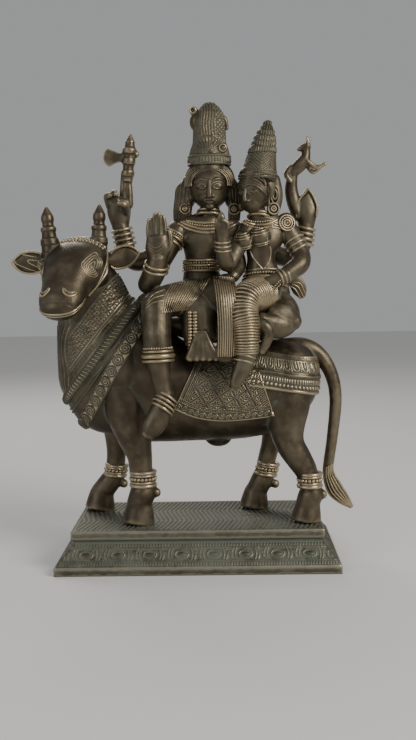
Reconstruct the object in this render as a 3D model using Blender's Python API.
"""A cast bronze group: a god and a goddess seated on a standing bull, on a stepped plinth.

Metres, +Z up. The origin is the centre of the plinth's underside. The bull faces -X and the
riders face -Y. The plinth is drawn from its own sizes. Bull and riders are free forms, drawn in
millimetres at full size and scaled by their own heights: every limb is a round or oval loft
through a few points, and all lofts of one casting are fused into one skin.
"""
import math

import bmesh
import bpy
import numpy as np
from mathutils import Matrix, Vector

MM = 0.001
CASTING_GAP = 0.3 * MM

# Driving heights of the two free forms: deck to rump top, and seat to crown top
BULL_HEIGHT = 178.5 * MM
RIDERS_HEIGHT = 240.0 * MM

# Plinth, from the ground up
FASCIA_HEIGHT = 7.8 * MM
LEDGE_RISE = 1.2 * MM
LEDGE_SETBACK = 1.6 * MM
LOWER_FILLET_HEIGHT = 3.2 * MM
SLOPE_HEIGHT = 12.0 * MM
UPPER_FILLET_HEIGHT = 2.8 * MM
NECK_HEIGHT = 4.0 * MM
NECK_SETBACK = 2.4 * MM
SLAB_THICKNESS = 9.5 * MM
SLAB_EDGE = 0.8 * MM
BASE_SPREAD = 15.0 * MM
DECK_MARGIN_X = 1.0 * MM
DECK_MARGIN_Y = 16.5 * MM
PANEL_PITCH = 31.0 * MM
PANEL_FRAME = 2.0 * MM
PANEL_SINK = 0.7 * MM

# The full-size drawing in millimetres: the same two heights, the levels that they start from,
# and how far the hooves reach from the middle
DRAWN = {"bull": 178.5, "riders": 240.0, "deck": 40.5, "seat": 216.0, "stance x": 122.0, "stance y": 47.5}

# Skin of the fused castings
BULL_GRAIN = 1.5 * MM
RIDERS_GRAIN = 1.1 * MM
BULL_TRIANGLES = 3900
RIDERS_TRIANGLES = 5150

bull_scale = BULL_HEIGHT / DRAWN["bull"]
riders_scale = RIDERS_HEIGHT / DRAWN["riders"]
slab_width = 2 * (DRAWN["stance x"] * bull_scale + DECK_MARGIN_X)
slab_depth = 2 * (DRAWN["stance y"] * bull_scale + DECK_MARGIN_Y)
deck_height = (FASCIA_HEIGHT + LEDGE_RISE + LOWER_FILLET_HEIGHT + SLOPE_HEIGHT
               + UPPER_FILLET_HEIGHT + NECK_HEIGHT + SLAB_THICKNESS)
hoof_height = deck_height + CASTING_GAP
seat_height = hoof_height + (DRAWN["seat"] - DRAWN["deck"]) * bull_scale


# Scene and materials

def clear_scene():
    for thing in list(bpy.data.objects):
        bpy.data.objects.remove(thing, do_unlink=True)


def bronze(name, colour, roughness, metallic):
    material = bpy.data.materials.new(name)
    material.use_nodes = True
    shader = material.node_tree.nodes["Principled BSDF"]
    shader.inputs["Base Color"].default_value = (*colour, 1.0)
    shader.inputs["Roughness"].default_value = roughness
    shader.inputs["Metallic"].default_value = metallic
    return material


def new_object(name, clay, material=None):
    mesh = bpy.data.meshes.new(name)
    clay.to_mesh(mesh)
    clay.free()
    thing = bpy.data.objects.new(name, mesh)
    bpy.context.scene.collection.objects.link(thing)
    if material:
        mesh.materials.append(material)
    return thing


def hide_helper(thing):
    thing.hide_render = True
    thing.display_type = "WIRE"
    return thing


# Clay: closed forms that are pressed together and fused later

def smooth_rows(rows, steps, closed=False):
    """Catmull-Rom rows through the given rows of numbers."""
    rows = np.array(rows, dtype=float)
    count = len(rows)
    spans = count if closed else count - 1
    out = []
    for i in range(spans):
        if closed:
            p0, p1, p2, p3 = (rows[(i + k) % count] for k in (-1, 0, 1, 2))
        else:
            p1, p2 = rows[i], rows[i + 1]
            p0 = rows[i - 1] if i > 0 else 2 * p1 - p2
            p3 = rows[i + 2] if i + 2 < count else 2 * p2 - p1
        for k in range(steps):
            t = k / steps
            out.append(0.5 * (2 * p1 + (p2 - p0) * t + (2 * p0 - 5 * p1 + 4 * p2 - p3) * t * t
                              + (3 * p1 - p0 - 3 * p2 + p3) * t ** 3))
    if not closed:
        out.append(rows[-1])
    return np.array(out)


def skin_rings(clay, rings, closed=False):
    """Joins rings of points; a ring of one point closes an end."""
    loops = [[clay.verts.new(p) for p in ring] for ring in rings]
    pairs = list(zip(loops, loops[1:]))
    if closed:
        pairs.append((loops[-1], loops[0]))
    for low, high in pairs:
        n = max(len(low), len(high))
        for i in range(n):
            j = (i + 1) % n
            if len(low) == 1:
                clay.faces.new((low[0], high[j], high[i]))
            elif len(high) == 1:
                clay.faces.new((low[i], low[j], high[0]))
            else:
                clay.faces.new((low[i], low[j], high[j], high[i]))
    if not closed:
        for loop, turn in ((loops[0], -1), (loops[-1], 1)):
            if len(loop) > 2:
                clay.faces.new(loop[::turn])


def limb(clay, rows, sides=14, steps=4, front=(0.0, -1.0, 0.0), closed=False, blunt=False):
    """A round or oval loft through rows of x, y, z, half width and, if oval, half depth.

    The half depth is measured towards front; the ends are domes, or flat if blunt.
    """
    rows = [tuple(row) + (row[3],) if len(row) == 4 else tuple(row) for row in rows]
    path = smooth_rows(rows, steps, closed)
    front = Vector(front)
    rings = []
    ends = []
    for i, row in enumerate(path):
        before = path[i - 1] if i or closed else path[0]
        after = path[(i + 1) % len(path)] if closed or i + 1 < len(path) else path[-1]
        along = Vector(after[:3] - before[:3]).normalized()
        ahead = front - along * front.dot(along)
        if ahead.length < 0.15:
            ahead = rings[-1][2].copy() if rings else Vector((1.0, 0.2, 0.1)).cross(along)
            ahead -= along * ahead.dot(along)
        ahead.normalize()
        rings.append((Vector(row[:3]), ahead.cross(along), ahead, max(row[3], 0.2), max(row[4], 0.2)))
        ends.append(along)

    def ring_points(centre, across, ahead, wide, deep):
        turn = (2 * math.pi * k / sides for k in range(sides))
        return [centre + across * (math.cos(a) * wide) + ahead * (math.sin(a) * deep) for a in turn]

    loops = [ring_points(*ring) for ring in rings]
    if not closed and not blunt:
        for at_end in (False, True):
            centre, across, ahead, wide, deep = rings[-1 if at_end else 0]
            along = ends[-1] if at_end else -ends[0]
            reach = min(wide, deep)
            dome = []
            for angle in (math.radians(32), math.radians(62)):
                shrink = math.cos(angle)
                top = centre + along * (reach * math.sin(angle))
                dome.append(ring_points(top, across, ahead, wide * shrink, deep * shrink))
            dome.append([centre + along * reach])
            loops = loops + dome if at_end else dome[::-1] + loops
    skin_rings(clay, loops, closed)


def ball(clay, centre, radii, turn=(0.0, 0.0, 0.0), fineness=3):
    """An ellipsoid; turn is in degrees about X, Y and Z."""
    if not isinstance(radii, tuple):
        radii = (radii, radii, radii)
    spin = Matrix.Rotation(math.radians(turn[2]), 4, "Z")
    spin = spin @ Matrix.Rotation(math.radians(turn[1]), 4, "Y")
    spin = spin @ Matrix.Rotation(math.radians(turn[0]), 4, "X")
    place = Matrix.Translation(centre) @ spin @ Matrix.Diagonal((*radii, 1.0))
    bmesh.ops.create_icosphere(clay, subdivisions=fineness, radius=1.0, matrix=place)


def turned(clay, foot, top, profile, sides=20, flat=1.0):
    """A turned form on the axis from foot to top; profile rows are share of height and radius."""
    foot, top = Vector(foot), Vector(top)
    rows = [(*foot.lerp(top, share), radius, radius * flat) for share, radius in profile]
    limb(clay, rows, sides=sides, steps=1, blunt=True)


def hoop(clay, centre, axis, radius, thick, sides=24, flat=1.0):
    """A ring of round wire; flat squeezes it along the front direction."""
    axis = Vector(axis).normalized()
    across = axis.orthogonal().normalized() if abs(axis.z) < 0.5 else Vector((1, 0, 0))
    across = (across - axis * across.dot(axis)).normalized()
    other = axis.cross(across)
    rows = []
    for k in range(sides):
        a = 2 * math.pi * k / sides
        p = Vector(centre) + across * (radius * math.cos(a)) + other * (radius * flat * math.sin(a))
        rows.append((*p, thick))
    limb(clay, rows, sides=8, steps=1, closed=True, front=axis)


def plate(clay, outline, thick):
    """An upright plate; the outline is a ring of points, thickened to the front and back."""
    rings = [[Vector(p) + Vector((0, thick * side, 0)) for p in outline] for side in (-0.5, 0.5)]
    skin_rings(clay, rings)


def fuse(thing, grain, triangles, relax=2):
    """One skin around all the forms, smoothed and brought down to a number of triangles."""
    remesh = thing.modifiers.new("fuse", "REMESH")
    remesh.mode = "VOXEL"
    remesh.voxel_size = grain
    smooth = thing.modifiers.new("soften", "SMOOTH")
    smooth.factor = 0.5
    smooth.iterations = relax
    bpy.context.view_layer.update()
    probe = thing.evaluated_get(bpy.context.evaluated_depsgraph_get())
    skin = probe.to_mesh()
    count = sum(len(face.vertices) - 2 for face in skin.polygons)
    probe.to_mesh_clear()
    thin = thing.modifiers.new("thin", "DECIMATE")
    thin.ratio = min(1.0, triangles / count)
    thin.use_collapse_triangulate = True


def scale_to_place(clay, scale, drawn_floor, floor):
    """Takes a form from the drawing in millimetres to its place in metres."""
    place = Matrix.Translation((0, 0, floor)) @ Matrix.Scale(scale, 4)
    place = place @ Matrix.Translation((0, 0, -drawn_floor))
    bmesh.ops.transform(clay, matrix=place, verts=clay.verts)


# Plinth

def plinth_levels():
    """Rows of height and how far the wall stands back from the base's edge."""
    z = 0.0
    rows = [(z, 0.0)]
    z += FASCIA_HEIGHT
    rows.append((z, 0.0))
    z += LEDGE_RISE
    rows.append((z, LEDGE_SETBACK))
    slope_back = BASE_SPREAD + NECK_SETBACK - LEDGE_SETBACK
    fall = LOWER_FILLET_HEIGHT + SLOPE_HEIGHT + UPPER_FILLET_HEIGHT
    z += LOWER_FILLET_HEIGHT
    rows.append((z, LEDGE_SETBACK + slope_back * LOWER_FILLET_HEIGHT / fall))
    z += SLOPE_HEIGHT
    rows.append((z, LEDGE_SETBACK + slope_back * (LOWER_FILLET_HEIGHT + SLOPE_HEIGHT) / fall))
    z += UPPER_FILLET_HEIGHT
    rows.append((z, BASE_SPREAD + NECK_SETBACK))
    z += NECK_HEIGHT
    rows.append((z, BASE_SPREAD + NECK_SETBACK))
    rows.append((z, BASE_SPREAD + SLAB_EDGE))
    rows.append((z + SLAB_EDGE, BASE_SPREAD))
    rows.append((deck_height - SLAB_EDGE, BASE_SPREAD))
    rows.append((deck_height, BASE_SPREAD + SLAB_EDGE))
    return rows


def level_ring(z, back, counts):
    """The rectangle at one level, each side divided so that the panels line up."""
    wide = slab_width / 2 + BASE_SPREAD - back
    deep = slab_depth / 2 + BASE_SPREAD - back
    corners = ((-wide, -deep), (wide, -deep), (wide, deep), (-wide, deep))
    ring = []
    for side, (x0, y0) in enumerate(corners):
        x1, y1 = corners[(side + 1) % 4]
        n = counts[side % 2]
        ring += [Vector((x0 + (x1 - x0) * k / n, y0 + (y1 - y0) * k / n, z)) for k in range(n)]
    return ring


def make_plinth(material):
    """The stepped base, with sunk panels around its sloped band."""
    counts = (round(slab_width / PANEL_PITCH), round(slab_depth / PANEL_PITCH))
    clay = bmesh.new()
    levels = plinth_levels()
    skin_rings(clay, [level_ring(z, back, counts) for z, back in levels])
    low, high = levels[3][0], levels[4][0]
    panels = []
    for face in clay.faces:
        heights = [v.co.z for v in face.verts]
        if len(heights) == 4 and abs(min(heights) - low) < CASTING_GAP \
                and abs(max(heights) - high) < CASTING_GAP:
            panels.append(face)
    bmesh.ops.recalc_face_normals(clay, faces=clay.faces)
    bmesh.ops.inset_individual(clay, faces=panels, thickness=PANEL_FRAME, depth=0.0)
    bmesh.ops.inset_individual(clay, faces=panels, thickness=PANEL_SINK, depth=-PANEL_SINK)
    flat = [f for f in clay.faces if abs(f.normal.z) > 0.999]
    bmesh.ops.dissolve_limit(clay, angle_limit=math.radians(0.5), verts=clay.verts[:],
                             edges=list({e for f in flat for e in f.edges}))
    return new_object("plinth", clay, material)


# Bull, on the drawing: rows of x, lowest z, highest z and half width of the barrel
BARREL = (
    (-139, 180, 238, 5),
    (-137, 172, 246, 11),
    (-133, 160, 252, 18),
    (-127, 149, 256, 24),
    (-119, 138, 260, 29),
    (-105, 129, 267, 35),
    (-85, 124, 268, 40),
    (-60, 118, 262, 44),
    (-35, 117, 236, 45),
    (0, 118, 214, 46),
    (40, 119, 212, 45),
    (72, 124, 219, 44),
    (94, 133, 219, 41),
    (106, 142, 216, 35),
    (114, 152, 211, 27),
    (119, 164, 204, 17),
    (121.5, 174, 196, 8),
)
# Swellings on the barrel: middle and half sizes of the shoulders, hump and haunches
SWELLS = (
    ((-104, 0, 214), (35, 37, 52)),
    ((-72, 0, 196), (36, 47, 50)),
    ((-46, 0, 236), (20, 15, 30)),
    ((96, -10, 180), (26, 33, 36)),
    ((96, 10, 180), (26, 33, 36)),
)
HEAD_CROWN = Vector((-112, -20, 314))
HEAD_AIM = Vector((-0.17, -0.66, -0.73)).normalized()
HEAD_LEFT = Vector((0.968, -0.25, 0)).normalized()
HEAD_FRONT = HEAD_AIM.cross(HEAD_LEFT).normalized()
POLL_PLACES = (-26, -17, -8, 0, 8, 17, 26)


def barrel_cut(x):
    """Middle height, half height and half width of the barrel at x."""
    rows = np.array(BARREL, dtype=float)
    low, high, wide = (np.interp(x, rows[:, 0], rows[:, k]) for k in (1, 2, 3))
    return (low + high) / 2, (high - low) / 2, wide


def flank(x, z, proud=0.0):
    """Half width of the barrel at x and z, with a proud layer added; 0 outside it."""
    middle, tall, wide = barrel_cut(x)
    rise = (z - middle) / (tall + proud)
    reach = (wide + proud) * math.sqrt(max(0.0, 1 - rise * rise))
    for (cx, cy, cz), (rx, ry, rz) in SWELLS:
        inside = 1 - ((x - cx) / (rx + proud)) ** 2 - ((z - cz) / (rz + proud)) ** 2
        if inside > 0:
            reach = max(reach, abs(cy) + (ry + proud) * math.sqrt(inside))
    return reach


def head_at(aim, left, front):
    """A point of the head from its own three directions."""
    return HEAD_CROWN + HEAD_AIM * aim + HEAD_LEFT * left + HEAD_FRONT * front


def add_barrel(clay):
    """Upright oval rings along the body, drawn to a point at the chest and at the rump."""
    turn = np.radians(np.arange(0, 360, 12))
    rings = [[(x, wide * math.cos(a), (low + high) / 2 + (high - low) / 2 * math.sin(a)) for a in turn]
             for x, low, high, wide in smooth_rows(BARREL, 2)]
    ends = [[(row[0] + way, 0, (row[1] + row[2]) / 2)] for row, way in ((BARREL[0], -1), (BARREL[-1], 1))]
    skin_rings(clay, [ends[0], *rings, ends[1]])
    for middle, radii in SWELLS:
        ball(clay, middle, radii)
    ball(clay, (21, 0, 119), (13, 7, 8))


def add_leg(clay, rows, hoof, anklet, spur):
    """A leg, its hoof, three anklet rings and the spur behind the fetlock."""
    limb(clay, rows, sides=18, steps=4)
    x, y, wide = hoof
    turned(clay, (x, y, DRAWN["deck"] - 4), (x + 3, y, 63),
           ((0, wide), (0.35, wide - 0.6), (0.8, wide - 3), (1.0, wide - 5)), flat=0.92)
    ax, ay, low, high, radius, lean = anklet
    for k in range(3):
        share = k / 2
        middle = (ax + lean * share, ay, low + (high - low) * share)
        hoop(clay, middle, (lean * 0.6, 0, high - low), radius, 2.3, sides=20)
    ball(clay, spur, (4.6, 5.0, 4.8), fineness=2)


def add_legs(clay):
    add_leg(clay,
            ((-74, -22, 185, 21), (-68, -28, 152, 22, 19), (-61, -32, 124, 16.5), (-57, -33, 108, 12.6),
             (-56, -33, 94, 11.6), (-54, -33, 82, 11.2), (-54, -33, 73, 13), (-59, -33, 60, 12)),
            (-60, -33, 16), (-54, -33, 79, 92, 11.8, 0), (-41, -33, 71))
    add_leg(clay,
            ((-84, 20, 182, 20), (-86, 26, 150, 20), (-86, 31, 124, 14), (-87, 33, 104, 10.5),
             (-88, 33, 90, 10), (-90, 33, 78, 10.5), (-95, 33, 69, 11.5), (-104, 33, 58, 11.5)),
            (-106, 33, 15.5), (-89, 33, 77, 87, 10.6, 2), (-80, 33, 67))
    add_leg(clay,
            ((94, -20, 186, 20), (91, -27, 160, 22, 19), (89, -31, 135, 18, 15), (92, -32, 118, 14.5),
             (100, -32, 104, 13), (107, -32, 92, 11.5), (110, -32, 82, 10.2), (112, -32, 75, 10.3),
             (112, -32, 68, 12), (109, -32, 58, 12)),
            (107, -32, 15), (111, -32, 76, 88, 10.9, 0), (124, -32, 67))
    add_leg(clay,
            ((92, 20, 185, 20), (86, 28, 154, 20), (80, 31, 126, 13.5), (76, 32, 108, 10.4),
             (72, 32, 94, 9.6), (69, 32, 80, 9.8), (66, 32, 70, 11.5), (60, 32, 58, 11)),
            (57, 32, 15), (70, 32, 76, 87, 10.4, 3), (80, 32, 65))


def add_tail(clay):
    limb(clay, ((88, 0, 208, 13), (108, 0, 210, 11), (124, 0, 203, 8.4), (136, 0, 184, 7),
                (140.5, 0, 158, 6.4), (137, 0, 120, 5.8), (133, 0, 92, 5.6), (133, 0, 80, 6.2),
                (139, 0, 66, 8.5, 7), (148, 0, 55, 6, 5), (156, 0, 47, 1.6)), sides=12)


def add_neck_and_head(clay):
    limb(clay, ((-112, -24, 296, 26, 24), (-104, -12, 272, 32, 29), (-98, -1, 246, 37, 34)), sides=20)
    rows = [(*head_at(aim, 0, front), wide, deep) for aim, front, wide, deep in
            ((-6, -3, 23, 9), (6, -1, 29, 16), (20, 0, 31, 21.5), (38, 1, 29, 22.5), (52, 2, 24.5, 20),
             (64, 3, 22, 17), (74, 3, 21.5, 15.5), (80, 2, 19, 12.5))]
    limb(clay, rows, sides=24, front=tuple(HEAD_FRONT))
    add_jaw(clay)
    for side in (-1, 1):
        ball(clay, head_at(30, 27 * side, 8), (7, 7, 6.5), fineness=2)
    add_ear(clay, (-144, -30, 300), (-174, -27, 300), 11.5)
    add_ear(clay, (-84, -24, 301), (-58, -16, 307), 11.5)
    add_horn(clay, (-139, -32, 303), (-143, -30, 354))
    add_horn(clay, (-94, -24, 303), (-92, -22, 356))
    limb(clay, [(*head_at(0.004 * left * left - 2, left, 9 - 0.014 * left * left), 4) for left in POLL_PLACES],
         sides=10, steps=2)


def add_jaw(clay):
    """Cheeks, lower jaw and the broad pad of the nose."""
    ball(clay, head_at(24, 14, -14), (18, 17, 17))
    ball(clay, head_at(24, -14, -14), (18, 17, 17))
    limb(clay, [(*head_at(aim, 0, front), wide, 7) for aim, front, wide in
                ((38, -17, 17), (58, -14, 16), (68, -10, 15), (74, -8, 13))], front=tuple(HEAD_FRONT))
    limb(clay, [(*head_at(75, left, 4), 11.5, 10.5) for left in (-10, 0, 10)], front=tuple(HEAD_FRONT))


def add_ear(clay, root, tip, wide):
    """A leaf-shaped ear, hollowed towards the front."""
    root, tip = Vector(root), Vector(tip)
    rows = []
    for share, part in ((0.0, 0.5), (0.22, 0.86), (0.5, 1.0), (0.78, 0.86), (1.0, 0.42)):
        rows.append((*root.lerp(tip, share), wide * part, 4.2 - 1.6 * share))
    limb(clay, rows, sides=16)


def add_horn(clay, root, tip):
    """A short ringed horn with a bulb and a point on top."""
    turned(clay, root, tip, ((0, 9.8), (0.12, 9.6), (0.14, 8.8), (0.26, 8.4), (0.28, 9.2), (0.38, 8.8),
                             (0.40, 7.4), (0.52, 6.8), (0.54, 7.8), (0.6, 7.6), (0.62, 5.8), (0.68, 5.4),
                             (0.74, 6.4), (0.82, 6.0), (0.9, 3.8), (1.0, 1.2)))


def girdle_rows(start, end, proud, count=26):
    """A loop around the barrel in a slanting plane, through two (x, z) points of its side."""
    near = []
    for k in range(count + 1):
        share = k / count
        x = start[0] + (end[0] - start[0]) * share
        z = start[1] + (end[1] - start[1]) * share
        near.append((x, -flank(x, z, proud), z))
    far = [(x, -y, z) for x, y, z in reversed(near[1:-1])]
    return near + far


def add_collars(clay):
    """The rope collar, a plain cord and the belt of medallions around the neck and chest."""
    limb(clay, [(*p, 3.4) for p in girdle_rows((-50, 265), (-137, 156), 2.0)], sides=8, steps=1,
         closed=True)
    limb(clay, [(*p, 1.8) for p in girdle_rows((-45, 256), (-131, 149), 1.0)], sides=8, steps=1,
         closed=True)
    belt = girdle_rows((-40, 258), (-115, 136), 1.2)
    limb(clay, [(*p, 3.6) for p in belt], sides=8, steps=1, closed=True, front=(0.6, 0, 0.8))
    for side in (-1, 1):
        for k in range(7):
            share = k / 6
            x = -68 + (-106 + 68) * share
            z = 216 + (152 - 216) * share
            y = flank(x, z, 1.5) * side
            turned(clay, (x, y - 2 * side, z), (x, y + 3 * side, z),
                   ((0, 5.8), (0.6, 5.8), (1.0, 4.2)), sides=12)


def add_blanket(clay, left, right, low, proud, thick):
    """A cloth over the barrel; left and right give x by share of drop, low gives z by x."""
    across, down, ridge = 14, 10, 208
    rings = []
    for i in range(across + 1):
        u = i / across
        hem = np.interp(u, *low)
        outer, inner = [], []
        for j in range(down + 1):
            v = j / down
            x = np.interp(v, (0, 1), left) * (1 - u) + np.interp(v, (0, 1), right) * u
            z = ridge + (hem - ridge) * v
            outer.append((x, flank(x, z, proud), z))
            inner.append((x, flank(x, z, proud) - thick, z))
        near_outer = [Vector((x, -y, z)) for x, y, z in outer]
        near_inner = [Vector((x, -y, z)) for x, y, z in inner]
        far_outer = [Vector(p) for p in outer]
        far_inner = [Vector(p) for p in inner]
        rings.append(near_outer[::-1] + far_outer + far_inner[::-1] + near_inner)
    skin_rings(clay, rings)


def add_trappings(clay):
    """Saddle cloth and the crupper band around the rump."""
    add_blanket(clay, (4, -22), (56, 77), ((0, 0.35, 0.7, 1), (157, 143, 142, 147)), 2.6, 8)
    for drop, thick in ((0, 2.4), (9, 3.4), (18, 3.0), (27, 3.6), (34, 2.2)):
        near = []
        for k in range(13):
            share = k / 12
            x = 60 + 61 * math.sin(share * math.pi / 2)
            z = 208 - drop - 6 * share
            near.append((x, -max(0.0, flank(x, z, 1.5)), z))
        rows = near + [(122.5, 0, 202 - drop)] + [(x, -y, z) for x, y, z in reversed(near)]
        limb(clay, [(*p, thick) for p in rows], sides=8, steps=1)


def bull_clay():
    clay = bmesh.new()
    add_barrel(clay)
    add_legs(clay)
    add_tail(clay)
    add_neck_and_head(clay)
    add_collars(clay)
    add_trappings(clay)
    scale_to_place(clay, bull_scale, DRAWN["deck"], hoof_height)
    return clay


def make_bull(material):
    """The bull, its hooves cut flat just above the slab."""
    bull = new_object("bull", bull_clay(), material)
    fuse(bull, BULL_GRAIN, BULL_TRIANGLES)
    ground = bmesh.new()
    reach = slab_width
    bmesh.ops.create_cube(ground, size=reach, matrix=Matrix.Translation((0, 0, hoof_height - reach / 2)))
    ground = hide_helper(new_object("ground_cutter", ground))
    cut = bull.modifiers.new("flat hooves", "BOOLEAN")
    cut.operation = "DIFFERENCE"
    cut.object = ground
    return bull


# Riders, on the drawing

def add_seat(clay):
    ball(clay, (34, 2, 236), (66, 36, 20))


def add_god_body(clay):
    limb(clay, ((10, 2, 252, 30, 24), (8, 0, 272, 23, 18), (6, 0, 290, 17.5, 14), (7, 0, 302, 17, 13.5),
                (9, -1, 316, 23, 16), (11, 0, 328, 28, 15.5), (12, 0, 335, 27, 12.5), (14, 0, 341, 17, 11),
                (15.5, -1, 347, 10.5, 10), (16, -3, 358, 10, 10)), sides=28)
    ball(clay, (0, -10, 322), (12, 6, 9))
    ball(clay, (21, -10, 322), (12, 6, 9))


def add_god_head(clay):
    """Head, hanging hair beside it, and the tall crown with its ring and hook."""
    ball(clay, (16, -7, 372), (19.5, 18.5, 22.5))
    ball(clay, (16, -10, 362), (15, 14, 12))
    ball(clay, (16, 3, 379), (24, 16, 21))
    ball(clay, (-5, 6, 370), (8, 8, 18))
    ball(clay, (36, 6, 370), (7, 8, 18))
    ball(clay, (16, -27, 366), (3, 4.5, 7))
    turned(clay, (16, -2, 393), (17, 2, 456),
           ((0, 20.4), (0.03, 21), (0.14, 20.8), (0.16, 19.4), (0.25, 18), (0.36, 15.6), (0.55, 15.2),
            (0.72, 15), (0.82, 12.6), (0.91, 8.5), (0.97, 4.5), (1.0, 1.8)), sides=28, flat=0.92)
    ball(clay, (4, 0, 437), (7, 8, 10))
    ball(clay, (1.5, 0, 447), (4.2, 4, 4.6))
    limb(clay, ((28, 0, 429, 3), (33.5, -1, 435, 2.6), (32, -1, 441, 2.2)), sides=12)
    ball(clay, (34, -8, 409), (4.5, 4, 5))
    limb(clay, ((-8, 4, 390, 8, 8), (-11, 4, 374, 8.5, 8), (-12, 3, 358, 7.5, 7), (-11, 2, 349, 5.5, 5)))
    limb(clay, ((38, 4, 388, 7, 8), (40.5, 4, 372, 6.5, 8), (41, 3, 356, 6, 7), (40, 2, 347, 5, 5)))
    ball(clay, (40, -4, 350), (6, 4.5, 6))
    ball(clay, (-9, -3, 351), (5.5, 4.5, 5.5))


def add_hand(clay, palm, fingers, wide=2.6):
    """A hand: a palm of oval rows, and fingers from root through knuckle to tip."""
    limb(clay, palm)
    for finger in fingers:
        root, knuckle, tip = finger
        limb(clay, ((*root, wide * 1.1), (*knuckle, wide), (*tip, wide * 0.75)), sides=12)


def add_god_arms(clay):
    """The raised open palm in front, and the two rear arms."""
    ball(clay, (-16, 0, 328), (12, 12, 12))
    ball(clay, (38, 0, 328), (12, 12, 12))
    limb(clay, ((-17, -1, 329, 11.5), (-30, -9, 306, 10.5), (-43, -19, 284, 10), (-46, -26, 277, 10),
                (-41, -35, 284, 11), (-36, -41, 294, 10.8), (-34.5, -43, 301, 9.8)))
    add_hand(clay, ((-34.5, -43, 302, 10, 8), (-34, -45, 311, 12.3, 7), (-34.5, -46, 321, 10.5, 5.2)),
             (((-42, -46, 321), (-42.5, -46, 331), (-41.5, -47, 339)),
              ((-37, -47, 322), (-37, -47, 334), (-36, -48, 344)),
              ((-32, -47, 322), (-31.8, -47, 334), (-32, -48, 344.5)),
              ((-27, -46, 321), (-27, -46, 332), (-28, -47, 341)),
              ((-24, -45, 309), (-21.5, -48, 318), (-22, -49, 327))))
    limb(clay, ((-17, 5, 329, 10.5), (-38, 9, 308, 10), (-58, 12, 300, 10), (-68, 12, 308, 9.6),
                (-72, 11, 322, 9.2), (-75, 10, 336, 8.6)))
    add_hand(clay, ((-75, 10, 337, 9, 8), (-76, 9, 349, 12, 8), (-76, 8, 359, 11.5, 6.5)),
             (((-71.5, 9, 358), (-71, 9, 372), (-70.5, 9, 388)),
              ((-65.5, 9, 357), (-65.5, 9, 371), (-66, 9, 386)),
              ((-85, 7, 356), (-87, 3, 365), (-83, -3, 366)),
              ((-79, 6, 359), (-80, 1, 368), (-77, -5, 367)),
              ((-68, 4, 350), (-69, -4, 356), (-74, -6, 358))), wide=3.8)
    limb(clay, ((40, 4, 329, 10.5), (66, 16, 312, 10), (92, 19, 302, 9.5), (106, 16, 309, 9),
                (111, 13, 322, 8.6), (112.5, 12, 334, 7.6)))
    limb(clay, ((113, 12, 334, 8, 7), (113, 11, 344, 9.8, 7), (113, 11, 353, 10.2, 5.5),
                (114, 10.5, 361, 6.5, 4), (115, 10, 367, 2, 2)))
    limb(clay, ((104, 11, 344, 6), (100, 11, 358, 7, 6), (98, 11, 370, 6.5, 5.5), (99, 11, 381, 5.4, 5),
                (101, 11, 387, 4.5)))


def add_axe(clay):
    """The axe: a ringed shaft with a cone on top, a curved blade and a knob behind."""
    turned(clay, (-67, 9, 380), (-62.5, 9, 428),
           ((0, 5.4), (0.1, 5.2), (0.12, 6.6), (0.22, 6.6), (0.25, 5.4), (0.34, 5.4), (0.37, 6.8), (0.47, 6.8),
            (0.5, 5.6), (0.56, 5.6), (0.59, 7.2), (0.68, 7.2), (0.71, 5.6), (0.8, 4.6), (0.82, 5), (0.9, 3),
            (1.0, 0.8)), sides=24)
    blade = [(-64, 9, 400), (-64, 9, 408)]
    for x, z in ((-74, 408.5), (-80, 411), (-86, 413.5), (-89.5, 410), (-91, 404.5), (-89.5, 399),
                 (-85, 395), (-79, 398.5), (-73, 400)):
        blade.append((x, 9, z))
    plate(clay, blade, 4.0)
    limb(clay, ((-64, 9, 406, 3), (-57.5, 9, 407, 3.4)), sides=12)


def add_deer(clay):
    """The leaping deer on the raised fingers."""
    limb(clay, ((100, 11, 388, 6.2), (106, 11, 393, 6.8), (111, 11, 399, 6.2), (113, 11, 405, 4.6),
                (113, 11, 410, 4.2)), sides=16)
    limb(clay, ((114, 11, 412, 4.2), (109.5, 10.5, 411, 3.4), (106, 10.5, 409.5, 2.4)), sides=14)
    for side in (-1, 1):
        y = 11 + 2.6 * side
        limb(clay, ((115, y, 413, 2), (115.5 + side, y + side, 417, 1.6), (116 + 2 * side, y + side, 421, 1.1)),
             sides=10)
    limb(clay, ((113, 8, 398, 3.2), (123, 7, 391, 2.4), (132, 7, 394.5, 1.9)), sides=10)
    limb(clay, ((113, 14, 397, 3.2), (120, 15, 387, 2.4), (127, 15, 391, 1.9)), sides=10)
    limb(clay, ((97, 9, 390, 4), (93, 7, 384, 3), (97, 6, 378, 2.4)), sides=12)


def add_god_legs(clay):
    """The hanging leg and its foot, and the draped leg beside it."""
    limb(clay, ((2, -6, 262, 21, 20), (-18, -30, 262, 17), (-35, -48, 257, 15), (-36, -53, 246, 14.4),
                (-36, -57, 230, 13.8), (-35, -59, 214, 13), (-34, -60, 200, 11), (-32, -60, 186, 9.4),
                (-30, -60, 174, 9)), sides=22)
    limb(clay, ((-29, -60, 172, 9), (-31, -62, 162, 10, 9), (-36, -65, 150, 11, 8), (-41, -67, 141, 10, 6.5),
                (-45, -68, 135, 6.5, 4.5)))
    limb(clay, ((12, -8, 262, 20, 19), (24, -32, 266, 16), (33, -50, 262, 13), (34, -55, 248, 11.5),
                (33, -57, 230, 11, 9), (32, -57, 212, 11.5, 7), (32, -57, 206, 11, 5)), sides=18)
    ball(clay, (31, -36, 280), (9, 9, 6.5))
    limb(clay, ((36, -8, 318, 8), (44, -14, 296, 7.5), (38, -30, 284, 6.5)))


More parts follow.
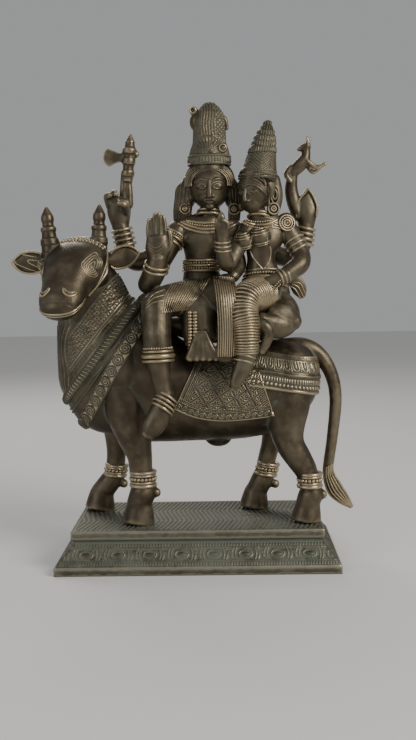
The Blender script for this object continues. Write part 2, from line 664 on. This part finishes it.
def add_god_drapery(clay):
    """Tassel and fan of pleats that fall between the god's knees."""
    ball(clay, (6, -32, 256), (24, 13, 11))
    limb(clay, ((4, -38, 250, 17, 9), (4, -43, 234, 17, 7), (6, -48, 222, 16, 5.5)))
    for k in range(5):
        swing = (k - 2) / 2
        limb(clay, ((7 + 3 * swing, -52, 230, 2.8), (7 + 8 * swing, -56, 218, 3.6),
                    (8 + 13 * swing, -57, 206, 4.2, 3.2)), sides=14)


def add_goddess_body(clay):
    limb(clay, ((72, -4, 250, 24, 20), (70, -9, 268, 24, 19), (67, -14, 285, 18, 14),
                (66, -16, 299, 14, 11.5), (66, -16, 308, 15, 12), (68, -15, 318, 19, 13),
                (70, -13, 328, 20.5, 12), (70, -12, 335, 16, 10.5),
                (64, -13, 342, 9.5, 9), (61, -15, 352, 8.5, 8.5)), sides=26)
    ball(clay, (65, -27, 322), (10, 9.5, 10))
    ball(clay, (49, -26, 318), (9.2, 9, 9.2))


def add_goddess_head(clay):
    """Head turned to the god, hair behind, and the tall cone of the crown."""
    ball(clay, (60, -19, 366), (15, 15.5, 19))
    ball(clay, (57.5, -21, 355), (11.5, 11.5, 10))
    ball(clay, (67, -8, 370), (17.5, 14.5, 19))
    ball(clay, (49.5, -32, 364), (3, 3, 5.5), turn=(0, 0, -40))
    turned(clay, (63, -13, 378), (74.5, -8, 436),
           ((0, 18.2), (0.06, 18.6), (0.12, 17.4), (0.14, 16.6), (0.24, 15.2), (0.34, 14), (0.44, 12.8),
            (0.46, 13.6), (0.52, 13), (0.54, 11.6), (0.62, 11.4), (0.64, 10.6), (0.71, 10.2), (0.74, 8.4),
            (0.8, 8.2), (0.83, 6.4), (0.88, 5.2), (0.91, 3.8), (0.95, 3.6), (1.0, 1.4)), sides=26)
    limb(clay, ((80, -7, 378, 6, 8), (82, -7, 364, 6.5, 8), (81, -8, 352, 5.5, 7), (79, -9, 344, 4, 5)))
    ball(clay, (78, -15, 349), (6.2, 4.5, 6.2))
    ball(clay, (47, -13, 352), (4, 4, 5))


def add_goddess_arms(clay):
    """One arm akimbo with its hand on the thigh, the other raised with a bud."""
    ball(clay, (91, -9, 328), (10.5, 10.5, 10.5))
    ball(clay, (91, -14, 336), (9.5, 6, 9.5))
    limb(clay, ((92, -9, 329, 10.5), (101, -12, 314, 9.2), (106.5, -17, 302, 8.4), (105, -24, 294, 8),
                (96, -29, 288, 7.2), (86, -33, 282, 6.6), (77, -36, 279, 6.2, 5), (69, -37, 276, 5.5, 4.4)))
    limb(clay, ((53, -16, 329, 9.5), (43, -24, 312, 8.5), (34, -32, 296, 8.4), (30, -37, 301, 7.8),
                (28, -41, 312, 6.8), (28, -43, 322, 6)))
    add_hand(clay, ((28, -43, 321, 6.5, 5.5), (28, -44, 327, 7.4, 5.5), (27.5, -45, 331, 6.5, 5)),
             (((23, -46, 330), (23, -48, 336), (26, -49, 340)),
              ((28, -47, 331), (29, -49, 337), (28, -50, 341)),
              ((32, -46, 328), (33, -49, 334), (30, -51, 337))), wide=2.4)
    ball(clay, (27, -48, 340), (3.6, 3.6, 5.2))


def add_goddess_legs(clay):
    """The ribbed leg that hangs down, and the leg folded flat on the seat."""
    ribbed = ((70, -12, 264, 19), (60, -34, 265, 17.5), (50, -50, 261, 14.8), (47, -57, 250, 13.6),
              (49, -60, 237, 12.6), (49.5, -62, 223, 11.6), (49.5, -62, 210, 10))
    limb(clay, ribbed, sides=24)
    skin = smooth_rows(ribbed, 4)
    for before, row, after in list(zip(skin, skin[1:], skin[2:]))[2:]:
        hoop(clay, tuple(row[:3]), tuple(after[:3] - before[:3]), row[3] + 0.2, 1.3, sides=26)
    limb(clay, ((49.5, -62, 209, 9.4, 8), (46.5, -64, 199, 9.2, 7.5), (42, -66, 190, 7.8, 6),
                (38, -67, 182, 5.4, 4.5), (36, -67, 178, 3, 3)))
    limb(clay, ((79, -12, 258, 16), (90, -24, 248, 13.5), (97, -33, 239, 7.5)))
    limb(clay, ((97, -33, 237, 6.5), (86, -39, 235, 11.5, 10), (75, -45, 236, 12.5, 9), (65, -50, 241, 8, 8)))
    ball(clay, (82, -28, 245), (18, 15, 16))
    limb(clay, ((60, -56, 238, 5), (67, -58, 236, 6), (71, -58, 229, 5.5), (68, -59, 220, 5),
                (64, -60, 213, 4.2)))


def add_sash_fan(clay):
    """The broad leaf-shaped end of her sash, behind the hip."""
    limb(clay, ((86, -8, 282, 3.5, 2.6), (94, -7, 283, 5.5, 2.4), (100.5, -6, 277, 7.5, 2.4),
                (104.5, -5, 269, 7.5, 2.2), (107.5, -4, 262, 4, 1.6)), sides=16)


def add_god_jewels(clay):
    """Necklaces, belt, bracelets, knee band and anklet of the god."""
    for z, wide, deep in ((344, 14.5, 12.5), (339.5, 20, 14), (335, 25, 15.5), (330.5, 27.5, 17)):
        hoop(clay, (14, -1.5, z), (0.05, 0.42, 1), wide, 1.6, flat=deep / wide)
    for z, wide in ((300, 17.6), (295, 18), (290, 18.4)):
        hoop(clay, (6.5, 0, z), (0, 0, 1), wide, 1.4, flat=0.82)
    for k in range(4):
        hoop(clay, (-70.5 - 1.1 * k, 11, 317 + 5 * k), (-0.22, -0.05, 1), 10.2 - 0.2 * k, 1.7)
        hoop(clay, (109.5 + 0.9 * k, 13, 315.5 + 5 * k), (0.2, 0, 1), 9.8 - 0.2 * k, 1.7)
    for k in range(2):
        hoop(clay, (-37 + 1.4 * k, -40 - 1.6 * k, 291 + 4.5 * k), (0.25, -0.4, 1), 11.4, 1.5)
    for z, radius, thick in ((217, 14, 1.8), (212.5, 14.4, 2.2), (208, 13.6, 1.5)):
        hoop(clay, (-35, -59, z), (-0.03, 0.04, 1), radius, thick)
    hoop(clay, (-30.5, -61, 168), (0.3, 0.2, 1), 10, 1.8)
    hoop(clay, (-31.5, -62, 162), (0.4, 0.25, 1), 10.8, 1.6)


def add_goddess_jewels(clay):
    """Necklaces, belt, armlets and bracelets of the goddess."""
    for z, wide in ((343, 10.6), (338.5, 14.5), (334, 18), (329.5, 20)):
        hoop(clay, (65, -14.5, z), (0.1, 0.42, 1), wide, 1.5, flat=0.78)
    for z, wide in ((292, 16.6), (284, 19.4), (277, 22)):
        hoop(clay, (67.5, -14, z), (0, 0.25, 1), wide, 1.5, flat=0.8)
    for k in range(3):
        hoop(clay, (98.5 + 2.6 * k, -11.5 - 1.4 * k, 318 - 4.6 * k), (0.5, -0.2, -0.84), 10.2 - 0.3 * k, 1.3)
        hoop(clay, (90 - 3.6 * k, -31.5 - 1.3 * k, 284 - 1.4 * k), (-0.9, -0.3, -0.35), 7.2, 1.2)
        hoop(clay, (28.5 - 0.3 * k, -40 - 0.9 * k, 309 + 4 * k), (0, -0.25, 1), 7.4 - 0.2 * k, 1.2)


def add_tassel(clay):
    for k in range(7):
        ball(clay, (-2, -49 - 0.6 * k, 248 - 5 * k), (5.2, 4.4, 3.4), fineness=2)
    for k in range(4):
        x = 27 + 4.5 * k
        limb(clay, ((x + 1, -60, 256, 2), (x, -63.5, 236, 2.2), (x, -61.5, 209, 2.4)), sides=8)


def riders_clay():
    clay = bmesh.new()
    add_seat(clay)
    add_god_body(clay)
    add_god_head(clay)
    add_god_arms(clay)
    add_axe(clay)
    add_deer(clay)
    add_god_legs(clay)
    add_god_drapery(clay)
    add_tassel(clay)
    add_god_jewels(clay)
    add_goddess_body(clay)
    add_goddess_head(clay)
    add_goddess_arms(clay)
    add_goddess_legs(clay)
    add_sash_fan(clay)
    add_goddess_jewels(clay)
    scale_to_place(clay, riders_scale, DRAWN["seat"], seat_height)
    return clay


def make_riders(material, bull):
    """The riders, hollowed below to sit on the bull with a hair's gap."""
    riders = new_object("divine_couple", riders_clay(), material)
    fuse(riders, RIDERS_GRAIN, RIDERS_TRIANGLES)
    saddle = hide_helper(bpy.data.objects.new("saddle_cutter", bull.data))
    bpy.context.scene.collection.objects.link(saddle)
    fuse(saddle, BULL_GRAIN, BULL_TRIANGLES)
    swell = saddle.modifiers.new("clearance", "DISPLACE")
    swell.direction = "NORMAL"
    swell.mid_level = 0.0
    swell.strength = 1.5 * CASTING_GAP
    cut = riders.modifiers.new("sit on bull", "BOOLEAN")
    cut.operation = "DIFFERENCE"
    cut.object = saddle
    return riders


clear_scene()
make_plinth(bronze("weathered bronze", (0.16, 0.17, 0.12), 0.6, 0.6))
the_bull = make_bull(bronze("dark bronze", (0.20, 0.14, 0.09), 0.42, 0.8))
make_riders(bronze("brown bronze", (0.22, 0.16, 0.11), 0.45, 0.8), the_bull)
